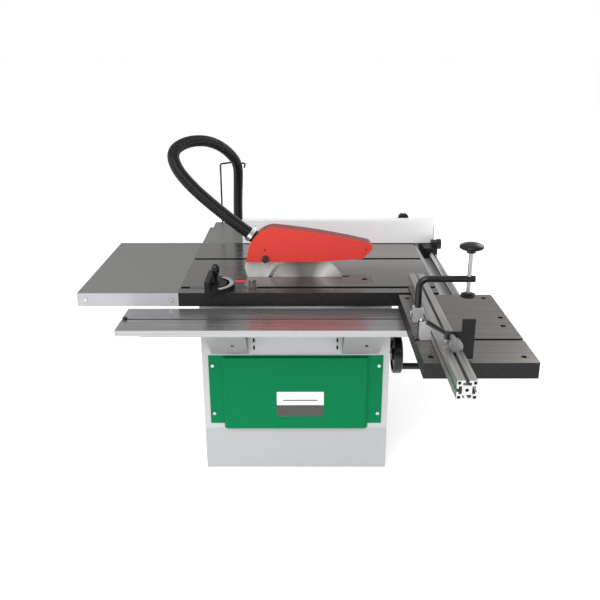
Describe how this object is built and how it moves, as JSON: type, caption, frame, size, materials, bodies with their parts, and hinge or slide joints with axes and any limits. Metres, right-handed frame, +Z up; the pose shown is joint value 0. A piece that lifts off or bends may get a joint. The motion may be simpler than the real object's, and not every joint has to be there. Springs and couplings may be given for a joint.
{
  "type": "panel saw",
  "caption": "Panel saw with steel cabinet, tilting and rising circular blade, red hood with suction hose, sliding carriage with cross-cut table, rip fence and mitre gauge.",
  "frame": {"origin": "on the floor, in the middle of the four anchor holes in the plinth", "axes": "+Z up from the floor, +X along the blade from the outfeed end to the operator's end, +Y from the sliding carriage across to the rip side"},
  "size_m": [1.266, 1.6605, 1.0487],
  "materials": {
    "cabinet_paint": "satin",
    "cover_paint": "satin",
    "guard_paint": "gloss",
    "ground_iron": "ground and polished",
    "grey_paint": "satin",
    "insert_metal": "polished",
    "carriage_alloy": "brushed",
    "fence_alloy": "anodised",
    "zinc_steel": "zinc plated",
    "bright_steel": "ground",
    "blade_steel": "polished",
    "black_knob": "gloss",
    "black_plastic": "matte",
    "hose_rubber": "satin",
    "clamp_chrome": "bright",
    "raw_iron": "as cast",
    "motor_paint": "satin",
    "belt_rubber": "matte",
    "start_green": "gloss",
    "stop_red": "gloss"
  },
  "bodies": {
    "root": {"base_plinth": "cabinet_paint", "cabinet_shell": "cabinet_paint", "front_cover": "cover_paint", "panel_screws": "bright_steel", "main_table": "ground_iron", "table_insert": "insert_metal", "table_widening": "grey_paint", "outfeed_extension": "grey_paint", "rail_brackets": "zinc_steel", "slide_rail": "carriage_alloy", "fence_rail_angle": "black_plastic", "fence_guide_bar": "bright_steel", "switch_box": "black_plastic", "cable_gland": "black_plastic", "hose_holder": "black_plastic", "dust_chute": "black_plastic", "trunnions": "raw_iron", "suction_hose": "hose_rubber"},
    "cradle": {"tilt_cradle": "raw_iron", "guide_columns": "bright_steel", "riving_knife": "bright_steel", "guard_front_shell": "guard_paint", "guard_rear_shell": "guard_paint", "hose_port": "black_plastic", "hose_clamp": "clamp_chrome"},
    "rise_unit": {"arbor_carriage": "raw_iron", "arbor_bearings": "bright_steel", "motor": "motor_paint", "drive_belt": "belt_rubber"},
    "blade_unit": {"arbor_shaft": "bright_steel", "arbor_pulley": "bright_steel", "saw_blade": "blade_steel", "arbor_nut": "bright_steel"},
    "motor_rotor": {"motor_pulley": "bright_steel"},
    "height_screw": {"lead_screw": "bright_steel"},
    "handwheel": {"handwheel_shaft": "bright_steel", "height_handwheel": "black_knob"},
    "grip": {"handwheel_grip": "black_knob"},
    "tilt_lock": {"tilt_lock_knob": "black_knob"},
    "guard_lock": {"guard_knob": "black_knob"},
    "start": {"start_button": "start_green"},
    "stop": {"stop_button": "stop_red"},
    "slider": {"sliding_table": "carriage_alloy", "carriage_rollers": "bright_steel", "crosscut_table": "ground_iron"},
    "fence": {"crosscut_fence": "fence_alloy", "fence_mounts": "carriage_alloy"},
    "hold_arm": {"hold_down_arm": "black_knob"},
    "hold_pad": {"hold_down_pad": "black_plastic"},
    "hold_screw": {"hold_down_spindle": "black_knob"},
    "length_stop": {"stop_carrier": "carriage_alloy"},
    "stop_flag": {"stop_plate": "black_plastic"},
    "stop_handle": {"stop_lever": "black_knob"},
    "rip_head": {"rip_fence_head": "black_plastic"},
    "rip_face": {"rip_fence_profile": "fence_alloy"},
    "rip_lock": {"rip_lock_knob": "black_knob"},
    "rip_clamp": {"rip_clamp_knob": "black_knob"},
    "gauge_bar": {"mitre_bar": "bright_steel"},
    "gauge_head": {"mitre_head": "black_plastic"},
    "gauge_handle": {"mitre_handle": "black_knob"}
  },
  "joints": [
    {"name": "blade_tilt", "type": "hinge", "parent": "root", "child": "cradle", "pos_m": [0, -0.1525, 0.635], "axis": [1, 0, 0], "range_deg": [0, 45], "deforming": ["suction_hose"]},
    {"name": "blade_rise", "type": "slide", "parent": "cradle", "child": "rise_unit", "axis": [0, 0, 1], "range_m": [-0.075, 0]},
    {"name": "blade_spin", "type": "hinge", "parent": "rise_unit", "child": "blade_unit", "pos_m": [0.038, -0.1525, 0.58], "axis": [0, 1, 0], "continuous": true},
    {"name": "motor_spin", "type": "hinge", "parent": "rise_unit", "child": "motor_rotor", "pos_m": [0.038, -0.1525, 0.385], "axis": [0, 1, 0], "continuous": true},
    {"name": "lead_screw_turn", "type": "hinge", "parent": "cradle", "child": "height_screw", "pos_m": [0.188, -0.2325, 0.4], "axis": [0, 0, 1], "range_deg": [-5400, 0]},
    {"name": "handwheel_turn", "type": "hinge", "parent": "cradle", "child": "handwheel", "pos_m": [0.3, -0.2325, 0.395], "axis": [1, 0, 0], "range_deg": [-5400, 0]},
    {"name": "grip_spin", "type": "hinge", "parent": "handwheel", "child": "grip", "pos_m": [0.35, -0.26924, 0.36732], "axis": [1, 0, 0], "continuous": true},
    {"name": "tilt_lock_turn", "type": "hinge", "parent": "cradle", "child": "tilt_lock", "pos_m": [0.3, -0.0913, 0.38953], "axis": [1, 0, 0], "range_deg": [-35, 35]},
    {"name": "guard_knob_turn", "type": "hinge", "parent": "cradle", "child": "guard_lock", "pos_m": [-0.097, -0.1525, 0.703], "axis": [0, 1, 0], "range_deg": [-180, 180]},
    {"name": "start_press", "type": "slide", "parent": "root", "child": "start", "axis": [-1, 0, 0], "range_m": [0, 0.004], "stiffness_N_per_m": 600},
    {"name": "stop_press", "type": "slide", "parent": "root", "child": "stop", "axis": [-1, 0, 0], "range_m": [0, 0.004], "stiffness_N_per_m": 600},
    {"name": "carriage_slide", "type": "slide", "parent": "root", "child": "slider", "axis": [1, 0, 0], "range_m": [-0.4, 0.1]},
    {"name": "fence_pivot", "type": "hinge", "parent": "slider", "child": "fence", "pos_m": [0.3745, -0.3725, 0.637], "axis": [0, 0, 1], "range_deg": [-45, 45]},
    {"name": "arm_swivel", "type": "hinge", "parent": "fence", "child": "hold_arm", "pos_m": [0.3385, -0.55, 0.7], "axis": [0, 0, 1], "range_deg": [-45, 45]},
    {"name": "pad_slide", "type": "slide", "parent": "hold_arm", "child": "hold_pad", "axis": [0, 0, 1], "range_m": [-0.06, 0.02]},
    {"name": "spindle_turn", "type": "hinge", "parent": "hold_pad", "child": "hold_screw", "pos_m": [0.472, -0.55, 0.78], "axis": [0, 0, 1], "range_deg": [-4320, 1440]},
    {"name": "stop_slide", "type": "slide", "parent": "fence", "child": "length_stop", "axis": [0, 1, 0], "range_m": [-0.12, 0.15]},
    {"name": "stop_flip", "type": "hinge", "parent": "length_stop", "child": "stop_flag", "pos_m": [0.3785, -0.8185, 0.698], "axis": [0, -1, 0], "range_deg": [0, 95]},
    {"name": "lever_turn", "type": "hinge", "parent": "length_stop", "child": "stop_handle", "pos_m": [0.3625, -0.8325, 0.71], "axis": [0, 0, 1], "range_deg": [-60, 60]},
    {"name": "rip_slide", "type": "slide", "parent": "root", "child": "rip_head", "axis": [0, 1, 0], "range_m": [-0.35, 0.25]},
    {"name": "profile_slide", "type": "slide", "parent": "rip_head", "child": "rip_face", "axis": [1, 0, 0], "range_m": [-0.06, 0.2]},
    {"name": "rip_lock_turn", "type": "hinge", "parent": "rip_head", "child": "rip_lock", "pos_m": [0.52, 0.2275, 0.64], "axis": [1, 0, 0], "range_deg": [-180, 180]},
    {"name": "rip_clamp_turn", "type": "hinge", "parent": "rip_head", "child": "rip_clamp", "pos_m": [0.407, 0.29, 0.719], "axis": [0, 1, 0], "range_deg": [-180, 180]},
    {"name": "gauge_slide", "type": "slide", "parent": "root", "child": "gauge_bar", "axis": [1, 0, 0], "range_m": [-0.025, 0.07]},
    {"name": "gauge_pivot", "type": "hinge", "parent": "gauge_bar", "child": "gauge_head", "pos_m": [-0.265, -0.2625, 0.64], "axis": [0, 0, 1], "range_deg": [-30, 30]},
    {"name": "handle_turn", "type": "hinge", "parent": "gauge_head", "child": "gauge_handle", "pos_m": [-0.248, -0.2625, 0.67], "axis": [0, 0, 1], "range_deg": [-180, 180]}
  ],
  "couplings": [
    {"joint": "motor_spin", "follows": "blade_spin", "ratio": 0.76471},
    {"joint": "lead_screw_turn", "follows": "blade_rise", "rad_per_m": 1256.6},
    {"joint": "handwheel_turn", "follows": "blade_rise", "rad_per_m": 1256.6},
    {"joint": "spindle_turn", "follows": "pad_slide", "rad_per_m": 1256.6}
  ]
}
